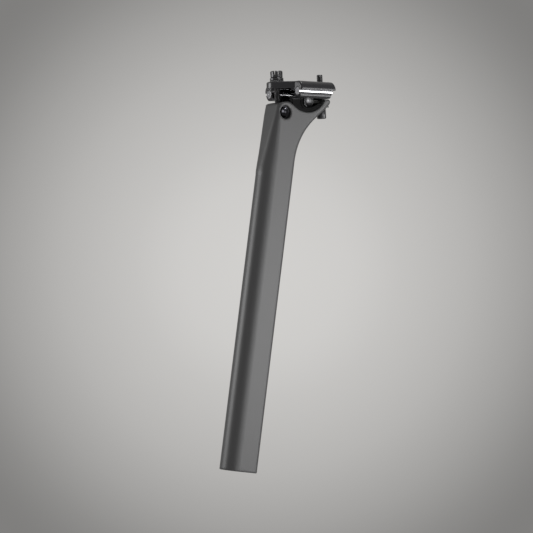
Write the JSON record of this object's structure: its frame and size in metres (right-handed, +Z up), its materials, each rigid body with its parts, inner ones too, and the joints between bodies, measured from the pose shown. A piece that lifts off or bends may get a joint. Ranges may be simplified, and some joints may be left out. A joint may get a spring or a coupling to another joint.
{
  "type": "bicycle seatpost",
  "caption": "Deep D-section bicycle seatpost with a swept-back one-piece head and a two-bolt tilting clamp that holds a pair of round saddle rails.",
  "frame": {"origin": "centre of the post's open bottom end", "axes": "+Z up along the post, +X rearwards the way the head is set back, +Y to the rider's right"},
  "size_m": [0.0689, 0.0572, 0.3722],
  "materials": {
    "carbon": "satin moulded carbon composite",
    "clamp_black": "black anodised",
    "dark_metal": "dark anodised, turned",
    "black_steel": "black oxide",
    "polished_steel": "polished"
  },
  "bodies": {
    "post": {"post_body": "carbon"},
    "clamp": {"lower_cradle": "clamp_black", "cradle_cross_pin": "polished_steel", "upper_clamp": "clamp_black", "rail_left": "polished_steel", "rail_right": "polished_steel"},
    "front_barrel": {"front_barrel_nut": "dark_metal"},
    "front_stud": {"front_bolt": "black_steel", "front_half_round_seat": "dark_metal", "front_washer": "black_steel", "front_adjuster_nut": "dark_metal"},
    "rear_screw": {"rear_bolt": "black_steel", "rear_washer": "black_steel", "rear_half_moon_washer": "dark_metal"},
    "rear_cross_nut": {"rear_nut": "dark_metal"}
  },
  "joints": [
    {"name": "clamp_tilt", "type": "hinge", "parent": "post", "child": "clamp", "pos_m": [0.01803, 0, 0.35592], "axis": [0, -1, 0], "range_deg": [-5, 10]},
    {"name": "front_barrel_swivel", "type": "hinge", "parent": "post", "child": "front_barrel", "pos_m": [-0.00215, 0, 0.3275], "axis": [0, -1, 0], "range_deg": [-0.82, 1.65]},
    {"name": "front_bolt_travel", "type": "slide", "parent": "front_barrel", "child": "front_stud", "axis": [-0.204, 0, 0.979], "range_m": [-0.00449, 0.00224]},
    {"name": "rear_bolt_swivel", "type": "hinge", "parent": "post", "child": "rear_screw", "pos_m": [0.04643, 0, 0.33776], "axis": [0, -1, 0], "range_deg": [-0.53, 1.05]},
    {"name": "rear_nut_travel", "type": "slide", "parent": "rear_screw", "child": "rear_cross_nut", "axis": [-0.2093, 0, 0.9779], "range_m": [-0.00208, 0.00415]}
  ],
  "couplings": [
    {"joint": "front_barrel_swivel", "follows": "clamp_tilt", "ratio": 0.165},
    {"joint": "front_bolt_travel", "follows": "clamp_tilt", "m_per_rad": -0.0257},
    {"joint": "rear_bolt_swivel", "follows": "clamp_tilt", "ratio": 0.105},
    {"joint": "rear_nut_travel", "follows": "clamp_tilt", "m_per_rad": 0.0238}
  ]
}
